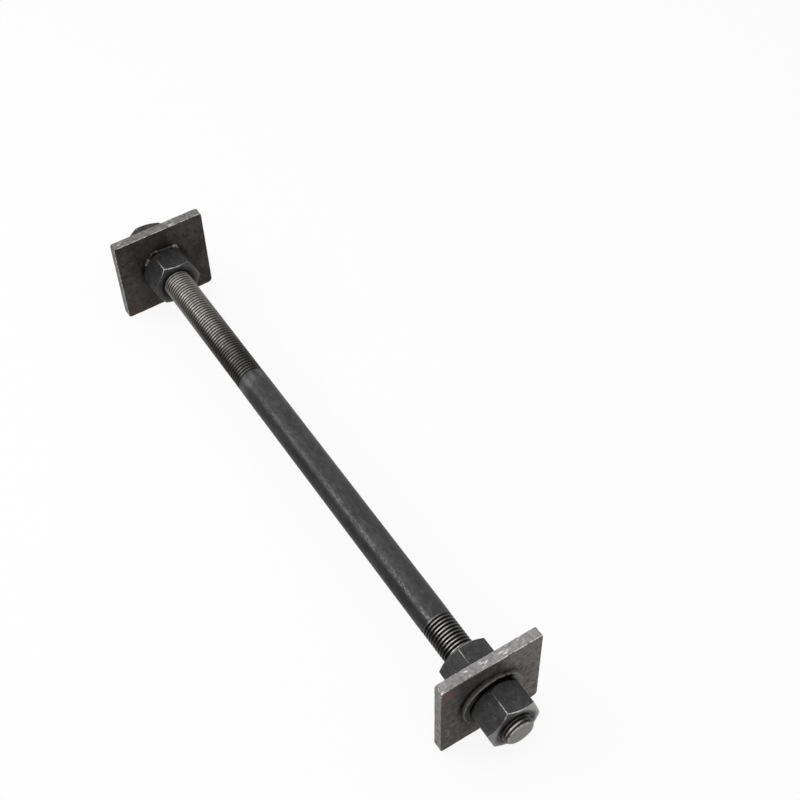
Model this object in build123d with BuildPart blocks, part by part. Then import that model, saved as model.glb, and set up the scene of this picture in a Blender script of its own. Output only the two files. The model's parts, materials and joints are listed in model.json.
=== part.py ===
from build123d import *
import os
from math import atan2, cos, degrees, radians, tan

os.makedirs("parts", exist_ok=True)

# Double head anchor bolt. It lies on the lower edges of its two square plates,
# with the rod level along X. The short thread is at +X, the long thread at -X,
# the floor is Z = 0 and the origin is midway between the rod's ends.

# Driving dimensions, in millimetres and degrees

# Rod
shank_diameter = 30.0
thread_crest_diameter = 29.7
long_thread_length = 245.0
short_thread_length = 125.0
rod_end_chamfer = 2.0
rod_end_standout = 7.0

# Square plates
plate_side = 100.0
plate_thickness = 10.0
plate_hole_diameter = 33.0
plate_corner_radius = 3.0
plate_worn_corner_radius = 5.0
plate_edge_break = 0.6
plate_pitch = 600.0

# Hexagon nuts
nut_across_flats = 47.0
nut_height = 31.0
nut_outer_bevel_diameter = 44.8
nut_outer_bevel_angle = 30.0
nut_seat_bevel_diameter = 44.0
nut_seat_bevel_angle = 45.0
nut_mouth_diameter = 34.0
nut_mouth_angle = 30.0
nut_thread_clearance = 0.05
nut_corner_margin = 1.0

# Turn of each nut on the rod: the angle of one corner from +Y towards +Z
short_inner_nut_turn_angle = 106.0
short_outer_nut_turn_angle = 106.0
long_welded_nut_turn_angle = 114.5
long_outer_nut_turn_angle = 109.0

# Round washers
washer_outer_diameter = 60.0
washer_hole_diameter = 33.0
washer_thickness = 4.0
washer_edge_break = 0.6

# Weld along the foot of one nut, between two angles from +Y towards +Z
weld_leg = 2.5
weld_top_land = 0.5
weld_corner_radius = 5.0
weld_first_angle = 40.0
weld_last_angle = 152.0

# Sizes and stations along the rod, worked out from the values above
nut_bore_diameter = thread_crest_diameter + 2 * nut_thread_clearance
rod_height = plate_side / 2
short_plate_inner_x = (plate_pitch - plate_thickness) / 2
short_plate_outer_x = short_plate_inner_x + plate_thickness
long_plate_inner_x = -short_plate_inner_x
long_plate_outer_x = -short_plate_outer_x
short_end_x = short_plate_outer_x + washer_thickness + nut_height + rod_end_standout
long_end_x = -short_end_x


def plane_across_rod(x):
    """The upright plane across the rod at station x: its X is the object's Y, its Y is Z."""
    return Plane(origin=(x, 0, rod_height), x_dir=(0, 1, 0), z_dir=(1, 0, 0))


def plane_along_rod(x, outward):
    """The upright plane through the rod's axis, for half outlines that are revolved.

    Its X is the distance from station x, outward along the axis (+1 is +X, -1 is -X),
    and its Y is the distance above the axis.
    """
    return Plane(origin=(x, 0, rod_height), x_dir=(outward, 0, 0), z_dir=(0, -outward, 0))


rod_axis = Axis((0, 0, rod_height), (1, 0, 0))


def anchor_plate(outer_x, outward):
    """A square plate with its outer face at outer_x and a clearance hole for the rod."""
    with BuildPart() as plate:
        with BuildSketch(plane_across_rod(outer_x)) as outline:
            Rectangle(plate_side, plate_side)
            lower_corners = outline.vertices().group_by(Axis.Y)[0].sort_by(Axis.X)
            worn_corner = lower_corners[-1]
            other_corners = outline.vertices().group_by(Axis.Y)[-1] + lower_corners[:1]
            fillet(worn_corner, plate_worn_corner_radius)
            fillet(other_corners, plate_corner_radius)
            Circle(plate_hole_diameter / 2, mode=Mode.SUBTRACT)
        extrude(amount=-outward * plate_thickness)
        broad_faces = plate.faces().filter_by(Axis.X)
        sheared_edges = [edge for face in broad_faces for edge in face.outer_wire().edges()]
        chamfer(sheared_edges, plate_edge_break)
    return plate


def hexagon_nut(seat_x, outward, turn):
    """A double bevelled hexagon nut that seats at seat_x and stands outward from there.

    A hexagonal bar is cut by a turned outline, which holds the two bevels, the bore and its
    mouths. The cones leave a curved rim on each flat.
    """
    flat = nut_across_flats / 2
    beyond_corner = flat / cos(radians(30)) + nut_corner_margin
    seat = nut_seat_bevel_diameter / 2
    end = nut_outer_bevel_diameter / 2
    bore = nut_bore_diameter / 2
    mouth = nut_mouth_diameter / 2
    seat_rise = (beyond_corner - seat) * tan(radians(nut_seat_bevel_angle))
    end_fall = (beyond_corner - end) * tan(radians(nut_outer_bevel_angle))
    mouth_depth = (mouth - bore) * tan(radians(nut_mouth_angle))
    with BuildPart() as nut:
        with BuildSketch(plane_across_rod(seat_x)):
            RegularPolygon(flat, side_count=6, major_radius=False, rotation=turn)
        extrude(amount=outward * nut_height)
        with BuildSketch(plane_along_rod(seat_x, outward)):
            with BuildLine():
                Polyline(
                    (0, mouth),
                    (0, seat),
                    (seat_rise, beyond_corner),
                    (nut_height - end_fall, beyond_corner),
                    (nut_height, end),
                    (nut_height, mouth),
                    (nut_height - mouth_depth, bore),
                    (mouth_depth, bore),
                    close=True,
                )
            make_face()
        revolve(axis=rod_axis, mode=Mode.INTERSECT)
    return nut


def flat_washer(seat_x, outward):
    """A round flat washer that seats at seat_x, with its outer rims broken."""
    with BuildPart() as washer:
        with BuildSketch(plane_across_rod(seat_x)):
            Circle(washer_outer_diameter / 2)
            Circle(washer_hole_diameter / 2, mode=Mode.SUBTRACT)
        extrude(amount=outward * washer_thickness)
        rims = washer.edges().filter_by(GeomType.CIRCLE).group_by(SortBy.RADIUS)[-1]
        chamfer(rims, washer_edge_break)
    return washer


def write_piece(builder, name):
    """Label a finished piece and write it as a STEP file of the same name."""
    builder.part.label = name
    export_step(builder.part, f"parts/{name}.step")


# The rod is turned in one piece. Both threads are shown at their crest diameter.
with BuildPart() as rod:
    crest = thread_crest_diameter / 2
    shank = shank_diameter / 2
    with BuildSketch(plane_along_rod(0, 1)):
        with BuildLine():
            Polyline(
                (long_end_x, 0),
                (long_end_x, crest - rod_end_chamfer),
                (long_end_x + rod_end_chamfer, crest),
                (long_end_x + long_thread_length, crest),
                (long_end_x + long_thread_length, shank),
                (short_end_x - short_thread_length, shank),
                (short_end_x - short_thread_length, crest),
                (short_end_x - rod_end_chamfer, crest),
                (short_end_x, crest - rod_end_chamfer),
                (short_end_x, 0),
                close=True,
            )
        make_face()
    revolve(axis=rod_axis)

# Short-thread end: plate, inner nut, washer and outer nut
short_end_plate = anchor_plate(short_plate_outer_x, 1)
short_end_inner_nut = hexagon_nut(short_plate_inner_x, -1, short_inner_nut_turn_angle)
short_end_washer = flat_washer(short_plate_outer_x, 1)
short_end_outer_nut = hexagon_nut(short_plate_outer_x + washer_thickness, 1, short_outer_nut_turn_angle)

# Long-thread end: plate, welded inner nut, washer and outer nut
long_end_plate = anchor_plate(long_plate_outer_x, -1)
long_end_welded_nut = hexagon_nut(long_plate_inner_x, 1, long_welded_nut_turn_angle)
long_end_washer = flat_washer(long_plate_outer_x, -1)
long_end_outer_nut = hexagon_nut(long_plate_outer_x - washer_thickness, -1, long_outer_nut_turn_angle)

# The weld is a sector of a tapered hexagonal collar with rounded corners. It fills the
# corner between the plate and the nut's flats, and under the nut's bevel down to its seat.
# The taper slopes its two ends as well.
with BuildPart() as weld_bead:
    with BuildSketch(plane_across_rod(long_plate_inner_x)) as weld_foot:
        RegularPolygon(
            nut_across_flats / 2 + weld_leg,
            side_count=6,
            major_radius=False,
            rotation=long_welded_nut_turn_angle,
        )
        fillet(weld_foot.vertices(), weld_corner_radius)
        with BuildLine():
            weld_length_angle = weld_last_angle - weld_first_angle
            sector_start = PolarLine((0, 0), nut_across_flats, weld_first_angle)
            sector_arc = CenterArc((0, 0), nut_across_flats, weld_first_angle, weld_length_angle)
            Line(sector_arc @ 1, sector_start @ 0)
        make_face(mode=Mode.INTERSECT)
    weld_slope = degrees(atan2(weld_leg - weld_top_land, weld_leg))
    extrude(amount=weld_leg, taper=weld_slope)
    with BuildSketch(plane_across_rod(long_plate_inner_x)):
        Circle(nut_seat_bevel_diameter / 2)
    extrude(amount=weld_leg, mode=Mode.SUBTRACT)
    add(long_end_welded_nut.part, mode=Mode.SUBTRACT)

write_piece(rod, "rod")
write_piece(short_end_plate, "short_end_plate")
write_piece(short_end_inner_nut, "short_end_inner_nut")
write_piece(short_end_washer, "short_end_washer")
write_piece(short_end_outer_nut, "short_end_outer_nut")
write_piece(long_end_plate, "long_end_plate")
write_piece(long_end_welded_nut, "long_end_welded_nut")
write_piece(weld_bead, "weld_bead")
write_piece(long_end_washer, "long_end_washer")
write_piece(long_end_outer_nut, "long_end_outer_nut")
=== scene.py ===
import json
from functools import partial, reduce
from math import pi, radians, tan

import bmesh
import bpy
import numpy as np
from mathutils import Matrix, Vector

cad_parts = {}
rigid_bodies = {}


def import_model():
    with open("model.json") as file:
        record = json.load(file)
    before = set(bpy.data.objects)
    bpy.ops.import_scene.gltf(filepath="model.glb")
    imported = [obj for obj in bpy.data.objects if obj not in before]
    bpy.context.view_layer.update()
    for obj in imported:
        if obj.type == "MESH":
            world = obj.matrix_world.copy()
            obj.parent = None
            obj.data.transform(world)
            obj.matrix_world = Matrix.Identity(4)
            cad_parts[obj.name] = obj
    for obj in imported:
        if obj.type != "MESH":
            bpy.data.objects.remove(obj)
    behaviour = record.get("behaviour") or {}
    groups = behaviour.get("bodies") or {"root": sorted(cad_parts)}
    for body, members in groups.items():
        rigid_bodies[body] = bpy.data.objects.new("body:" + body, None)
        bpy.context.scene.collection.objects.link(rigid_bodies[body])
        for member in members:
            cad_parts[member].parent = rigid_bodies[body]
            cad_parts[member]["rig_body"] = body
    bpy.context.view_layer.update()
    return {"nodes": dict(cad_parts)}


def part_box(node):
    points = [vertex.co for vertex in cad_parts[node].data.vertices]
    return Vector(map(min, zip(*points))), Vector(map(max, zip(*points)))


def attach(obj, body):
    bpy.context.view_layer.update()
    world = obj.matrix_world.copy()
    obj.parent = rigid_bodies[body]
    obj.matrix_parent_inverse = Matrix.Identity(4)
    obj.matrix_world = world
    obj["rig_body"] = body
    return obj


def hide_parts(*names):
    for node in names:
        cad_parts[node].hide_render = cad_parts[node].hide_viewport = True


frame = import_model()

# The bolt lies along X with its short thread at +X. Everything is in metres, in the frame of
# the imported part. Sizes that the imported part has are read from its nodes.
MM = 0.001

# Rod
THREAD_PITCH = 3.5 * MM
THREAD_DEPTH = 1.95 * MM
THREAD_CREST = 14.85 * MM
THREAD_FLANK_ANGLE = radians(60)
THREAD_CREST_HALF = 0.12 * THREAD_PITCH
THREAD_WORN_DEPTH = 0.45 * MM
THREAD_WORN_RAMP = (6.0 * MM, 4.0 * MM)
THREAD_ROW_SHARES = np.array([0, 0.10, 0.14, 0.28, 0.42, 0.5, 0.58, 0.72, 0.86, 0.90])
LONG_THREAD = 245 * MM
SHORT_THREAD = 125 * MM
THREAD_LEAD = -0.1 * THREAD_PITCH
THREAD_RUN_OUT = 1.5 * THREAD_PITCH
SHANK_STEP = 1.5 * MM
ROD_END_CHAMFER = 2.0 * MM
ROD_END_CHAMFER_ANGLE = radians(45)
ROD_END_ROUNDING = 0.6 * MM
ROD_END_RINGS = 12
ROD_RIM_RINGS = 6
RIM_WEAR_WIDTH = 0.5 * MM
DENT_DEPTH = 0.25 * MM
DENT_LENGTH = 2.5 * MM
DENT_LEAST = 0.35
DENT_SEED = 31
ROD_COLUMNS = 72
SHANK_ROWS = 40

# Nuts
NUT_SEAT_BEVEL_RADIUS = 22.0 * MM
NUT_SEAT_BEVEL_ANGLE = radians(45)
NUT_OUTER_BEVEL_RADIUS = 22.4 * MM
NUT_OUTER_BEVEL_ANGLE = radians(30)
NUT_FLAT = 23.5 * MM
NUT_MOUTH_RADIUS = 17.0 * MM
NUT_MOUTH_ANGLE = radians(30)
NUT_THREAD_CLEARANCE = 0.15 * MM
NUT_THREAD_DEPTH = 1.55 * MM
NUT_THREAD_ROW_SHARES = np.array([0.12, 0.376, 0.624, 0.88])
NUT_EDGE_SOFTNESS = 0.12 * MM
NUT_CORNER_SHARPNESS = 130
NUT_EDGE_WEAR_WIDTH = 0.42 * MM
NUT_THREAD_WEAR = 0.55
NUT_SEAT_WEAR = 0.35
NUT_LEAST_CORNER_WEAR = 0.35
NUT_LEAST_WEAR = 0.30
NUT_MOST_WORN_ANGLE = radians(-15)
NUT_WEAR_REACH = radians(27)
# Reach and share of the painted dark on a nut's end face, at its upper corner
NUT_FACE_DARK_REACH = radians(36)
NUT_FACE_DARK_SHARE = 0.8
# Where the grime and painted shade of a nut's mouth fade out, beyond the mouth's radius
NUT_MOUTH_SHADE_RAMP = (2.6 * MM, 1.2 * MM)
NUT_CORNER_POINTS = 12
NUT_FLAT_ROWS = 24
NUT_BEVEL_ROWS = 9
NUT_FACE_RINGS = 12
NUT_TURNS = {
    "short_end_inner_nut": radians(106.0),
    "short_end_outer_nut": radians(106.0),
    "long_end_welded_nut": radians(114.5),
    "long_end_outer_nut": radians(109.0),
}

# Plates
PLATE_HOLE_RADIUS = 16.5 * MM
PLATE_CORNER_RADIUS = 3.0 * MM
PLATE_WORN_CORNER_RADIUS = 5.0 * MM
PLATE_EDGE_ROUNDING = 0.7 * MM
PLATE_EDGE_WANDER = 0.45
PLATE_EDGE_WANDER_LENGTH = 9 * MM
PLATE_WALL_HOLLOW = 0.12 * MM
PLATE_WALL_HOLLOW_LENGTH = 6 * MM
PLATE_EDGE_WEAR_WIDTH = 0.45 * MM
PLATE_LEAST_WEAR = 0.35
PLATE_BACK_WEAR = 0.65
# Reach of the wear and painted highlight at a plate's top corner
PLATE_CORNER_SHINE_REACH = 7 * MM
PLATE_CORNER_SCRATCHES = 0.7
PLATE_RUBBED_RAMP = (-6 * MM, 12 * MM)
PLATE_STRAIGHT_POINTS = 72
PLATE_CORNER_POINTS = 9
PLATE_FACE_RINGS = 14
PLATE_WALL_ROWS = 9
NEAR_PLATE_SCRATCHES = [
    (-22 * MM, 2 * MM),
    (-5 * MM, 4 * MM),
    (14 * MM, 5 * MM),
    (32 * MM, 3 * MM),
]
FAR_PLATE_SCRATCHES = [(16 * MM, 4 * MM), (-41 * MM, 4 * MM)]

# Washers
WASHER_HOLE_RADIUS = 16.5 * MM
# Where the washer's ring of painted reflections begins
WASHER_SHEEN_RADIUS = 23.5 * MM
WASHER_EDGE_ROUNDING = 0.8 * MM
WASHER_EDGE_WEAR_WIDTH = 0.5 * MM
WASHER_FACE_RINGS = 14
WASHER_COLUMNS = 120

# Weld. Angles go from +Y towards +Z.
WELD_LEAST_LEG = 1.5 * MM
WELD_MOST_LEG = 2.4 * MM
WELD_ROOT_RADIUS = 21.8 * MM
WELD_CORNER_SHARPNESS = 26
WELD_BULGE = 1.5
WELD_UNEVENNESS = 0.12
WELD_SPAN = (radians(41), radians(151))
WELD_LUMPS = np.radians([147, 140, 132, 118, 104, 88, 70, 60, 53, 46])
WELD_LUMP_SIZES = np.array([0.8, 1.0, 0.9, 0.45, 0.6, 0.25, 0.45, 1.0, 1.0, 0.7])
WELD_LUMP_WIDTH = radians(3.4)
WELD_COLUMNS = 330
WELD_ROWS = 14

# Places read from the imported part
ROD_LOW, ROD_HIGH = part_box("rod")
ROD_HEIGHT = (ROD_LOW.z + ROD_HIGH.z) / 2
SHANK_RADIUS = (ROD_HIGH.y - ROD_LOW.y) / 2

MERGE_DISTANCE = 2e-6
SIXTH = radians(60)
QUARTER_TURN = np.linspace(0, pi / 2, 7)


def unevenness(points, wavelength, seed):
    """A smooth random field, mostly between -1 and 1.

    It is an eighth of the sum of sixteen plane waves cos(k . p + phase). Directions and phases
    are seeded, and |k| is 2 pi over about the wavelength.
    """
    rng = np.random.default_rng(seed)
    directions = rng.normal(size=(16, 3))
    directions /= np.linalg.norm(directions, axis=1)[:, None]
    phases = rng.uniform(0, 2 * pi, 16)
    lengths = wavelength * rng.uniform(0.7, 1.7, 16)
    waves = np.cos(points @ (directions * (2 * pi / lengths)[:, None]).T + phases)
    return waves.sum(axis=-1) / 8


def around_axis(station, radius, angle):
    """Points at an X station, a radius from the rod's axis and an angle from +Y towards +Z:
    (x, r cos a, height + r sin a)."""
    station, radius, angle = np.broadcast_arrays(station, radius, angle)
    across = radius * np.cos(angle)
    up = ROD_HEIGHT + radius * np.sin(angle)
    return np.stack([station, across, up], axis=-1)


def ring_of_angles(count):
    """Angles once round the axis, the last on top of the first."""
    return np.linspace(0, 2 * pi, count + 1)


def signed(angle):
    """The same angle, brought to between minus half a turn and half a turn."""
    return (angle + pi) % (2 * pi) - pi


def near(distance, width):
    """1 at no distance, falling off as exp(-(distance / width) squared)."""
    return np.exp(-((distance / width) ** 2))


def ramp(value, low, high):
    """0 at low, 1 at high, and 3t^2 - 2t^3 between them."""
    t = np.clip((value - low) / (high - low), 0, 1)
    return t * t * (3 - 2 * t)


def extent(node, outward):
    """Where a node starts along X, its length outward from there, and half its width."""
    low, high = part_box(node)
    start = low.x if outward > 0 else high.x
    return start, high.x - low.x, (high.y - low.y) / 2


def put_in_scene(name, data):
    """A new object that holds that mesh, lamp or camera."""
    thing = bpy.data.objects.new(name, data)
    bpy.context.scene.collection.objects.link(thing)
    return thing


def make_piece(name, node, finish, grid, marks):
    """Joins a grid of points, rows by columns, into a closed mesh that stands for a node.

    Each point is joined to the next in its row and in its column. Rows or columns that lie on
    top of each other are merged, which closes seams and poles. Each mark is a value per point,
    kept as an attribute that the finish reads.
    """
    rows, columns = grid.shape[:2]
    index = np.arange(rows * columns).reshape(rows, columns)
    corners = [index[:-1, :-1], index[1:, :-1], index[1:, 1:], index[:-1, 1:]]
    quads = np.stack(corners, axis=-1).reshape(-1, 4)
    mesh = bpy.data.meshes.new(name)
    mesh.vertices.add(rows * columns)
    mesh.vertices.foreach_set("co", grid.astype(np.float32).ravel())
    mesh.loops.add(quads.size)
    mesh.loops.foreach_set("vertex_index", quads.astype(np.int32).ravel())
    mesh.polygons.add(len(quads))
    mesh.polygons.foreach_set("loop_start", np.arange(0, quads.size, 4, dtype=np.int32))
    mesh.update(calc_edges=True)
    for mark, values in marks.items():
        attribute = mesh.attributes.new(mark, "FLOAT", "POINT")
        values = np.broadcast_to(values, (rows, columns))
        attribute.data.foreach_set("value", values.astype(np.float32).ravel())
    shell = bmesh.new()
    shell.from_mesh(mesh)
    bmesh.ops.remove_doubles(shell, verts=shell.verts, dist=MERGE_DISTANCE)
    bmesh.ops.recalc_face_normals(shell, faces=shell.faces)
    shell.to_mesh(mesh)
    shell.free()
    mesh.shade_smooth()
    mesh.materials.append(finish)
    piece = put_in_scene(name, mesh)
    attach(piece, frame["nodes"][node]["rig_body"])
    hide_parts(node)


# Rod with its two threads


def thread_depth(station, angle, worn):
    """Depth of the rod's thread below its crest, at a station and an angle.

    A right-hand crest lies where (x - lead) / pitch - angle / 2 pi is a whole number. It is
    flat for its half width each way. The flank then falls by the tangent of its angle, down to
    the flat root. Where the crest is worn it is cut off lower, so it is wider.
    """
    phase = (station - THREAD_LEAD) / THREAD_PITCH - angle / (2 * pi)
    offset = np.abs(phase - np.round(phase)) * THREAD_PITCH
    fall = (offset - THREAD_CREST_HALF) * tan(THREAD_FLANK_ANGLE)
    return np.clip(fall, THREAD_WORN_DEPTH * worn, THREAD_DEPTH)


def rod_radius(station, angle):
    """The rod's radius at a station and an angle, and how deep and how threaded it is there.

    The depth fades out at the inner end of each thread, the radius steps up to the shank there,
    and each end is cut by a 45 degree chamfer. The crests nearest the short end are worn. Small
    dents, never outward, break the crests' line.
    """
    from_long_end = station - ROD_LOW.x
    from_short_end = ROD_HIGH.x - station
    left = np.maximum(LONG_THREAD - from_long_end, SHORT_THREAD - from_short_end)
    threaded = ramp(left, 0, THREAD_RUN_OUT)
    worn = ramp(from_short_end, *THREAD_WORN_RAMP)
    depth = thread_depth(station, angle, worn) * threaded
    outside = THREAD_CREST + (SHANK_RADIUS - THREAD_CREST) * ramp(-left, 0, SHANK_STEP)
    place = around_axis(station, outside, angle)
    dent = DENT_DEPTH * np.maximum(unevenness(place, DENT_LENGTH, DENT_SEED) - DENT_LEAST, 0)
    chamfered = THREAD_CREST - ROD_END_CHAMFER + np.minimum(from_long_end, from_short_end)
    radius = np.minimum(outside - np.maximum(depth, dent), chamfered)
    return radius, depth / THREAD_DEPTH, threaded


def helix_rows(low, high, angle, shares):
    """Stations of grid rows that climb with the thread, held between two ends.

    A row's station is s + pitch times angle / 2 pi, and each pitch has a row at each of those
    shares of it. The first rows start early, because a row climbs a pitch in one turn.
    """
    climb = THREAD_PITCH * angle / (2 * pi)
    first = np.floor((low - THREAD_LEAD - climb.max()) / THREAD_PITCH) - 1
    last = np.ceil((high - THREAD_LEAD - climb.min()) / THREAD_PITCH) + 1
    turns = (np.arange(first, last)[:, None] + shares).ravel()
    return np.clip((turns * THREAD_PITCH + THREAD_LEAD)[:, None] + climb, low, high)


def rod_end_rows(angle, outward):
    """Rows from the middle of an end face out over its rounded rim to the chamfer.

    The face is flat, and its rim is an arc that turns by the chamfer's angle.
    """
    face_radius = THREAD_CREST - ROD_END_CHAMFER
    tangent = ROD_END_ROUNDING * tan(ROD_END_CHAMFER_ANGLE / 2)
    end = ROD_HIGH.x if outward > 0 else ROD_LOW.x
    flat_radius = (face_radius - tangent) * np.linspace(0, 1, ROD_END_RINGS)
    turn = np.linspace(0, ROD_END_CHAMFER_ANGLE, ROD_RIM_RINGS)[1:]
    rim_radius = face_radius - tangent + ROD_END_ROUNDING * np.sin(turn)
    rim_drop = ROD_END_ROUNDING * (1 - np.cos(turn))
    radius = np.hstack([flat_radius, rim_radius])[:, None]
    drop = np.hstack([0 * flat_radius, rim_drop])[:, None]
    station = end - outward * drop
    grid = around_axis(station, radius, angle)
    face = ramp(radius, face_radius + 0.2 * tangent, face_radius - tangent)
    rim = near(radius - face_radius, RIM_WEAR_WIDTH)
    face, rim = (np.broadcast_to(mark, grid.shape[:2]) for mark in (face, rim))
    return grid, face, rim, station[-1, 0]


def threaded_rod(finish):
    """The whole rod as one grid, from one end's middle to the other's.

    On the threads the rows climb with the helix: they run along the crests' middles and edges,
    down both flanks and round the root. On the shank they are level rings.
    """
    angle = ring_of_angles(ROD_COLUMNS)
    long_end, long_face, long_rim, long_start = rod_end_rows(angle, -1)
    short_end, short_face, short_rim, short_start = rod_end_rows(angle, 1)
    long_inner = ROD_LOW.x + LONG_THREAD
    short_inner = ROD_HIGH.x - SHORT_THREAD
    long_rows = helix_rows(long_start, long_inner, angle, THREAD_ROW_SHARES)
    short_rows = helix_rows(short_inner, short_start, angle, THREAD_ROW_SHARES)
    shank_rows = np.linspace(long_inner, short_inner, SHANK_ROWS)[1:-1, None] + 0 * angle
    station = np.vstack([long_rows, shank_rows, short_rows])
    radius, depth, threaded = rod_radius(station, angle)
    body = around_axis(station, radius, angle)
    grid = np.vstack([long_end, body, short_end[::-1]])
    none = np.zeros(long_face.shape)
    from_end = np.minimum(station - ROD_LOW.x, ROD_HIGH.x - station)
    cut = near(np.maximum(from_end - ROD_END_ROUNDING / 3, 0), RIM_WEAR_WIDTH)
    marks = {
        "groove": np.vstack([none, depth, none]),
        "threaded": np.vstack([none + 1, threaded, none + 1]),
        "end_face": np.vstack([long_face, 0 * depth, short_face[::-1]]),
        "end_rim": np.vstack([long_rim, cut, short_rim[::-1]]),
    }
    make_piece("threaded_rod", "rod", finish, grid, marks)


# Nuts


def hexagon_radius(angle, flat, sharpness):
    """Radius of a hexagon with softened corners, at angles measured from one corner.

    It is flat / (sum of cos(angle to each flat's middle) ^ n) ^ (1 / n), where only flats that
    face the angle count. A higher n gives sharper corners.
    """
    middles = SIXTH / 2 + SIXTH * np.arange(6)
    facing = np.maximum(np.cos(angle[..., None] - middles), 0)
    return flat / (facing**sharpness).sum(axis=-1) ** (1 / sharpness)


def soft_least(*values):
    """The least of several lengths, rounded off over NUT_EDGE_SOFTNESS where two are equal:
    m - k ln(sum of exp((m - v) / k))."""
    stack = np.stack(np.broadcast_arrays(*values))
    least = stack.min(axis=0)
    spread = np.exp((least - stack) / NUT_EDGE_SOFTNESS).sum(axis=0)
    return least - NUT_EDGE_SOFTNESS * np.log(spread)


def nut_angles():
    """Angles once round a nut from a corner, crowded at each corner as 30 degrees times t^2."""
    half = SIXTH / 2 * np.linspace(0, 1, NUT_CORNER_POINTS) ** 2
    sector = np.hstack([half, SIXTH - half[-2:0:-1]])
    turns = SIXTH * np.arange(6)[:, None] + sector
    return np.append(turns.ravel(), 2 * pi)


def nut_thread(seat, outward, height, angle):
    """Rows of a nut's inside thread, from its outer mouth to the one at its seat.

    The radius is the rod's crest plus a clearance, less the rod's thread depth there, up to the
    nut's own depth. It is never less than the cones of the mouths. The rows follow the helix as
    the rod's do, so a nut that turns as it slides stays in the rod's grooves.
    """
    low = min(seat, seat + outward * height)
    high = low + height
    bore = THREAD_CREST + NUT_THREAD_CLEARANCE
    mouth_depth = (NUT_MOUTH_RADIUS - bore) * tan(NUT_MOUTH_ANGLE)
    station = helix_rows(low + mouth_depth, high - mouth_depth, angle, NUT_THREAD_ROW_SHARES)
    depth = np.minimum(thread_depth(station, angle, 0), NUT_THREAD_DEPTH)
    cone = NUT_MOUTH_RADIUS - np.minimum(station - low, high - station) / tan(NUT_MOUTH_ANGLE)
    rows = [outward * (station - seat), np.maximum(bore - depth, cone), depth / NUT_THREAD_DEPTH]
    return [row[::-outward] for row in rows]


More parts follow.
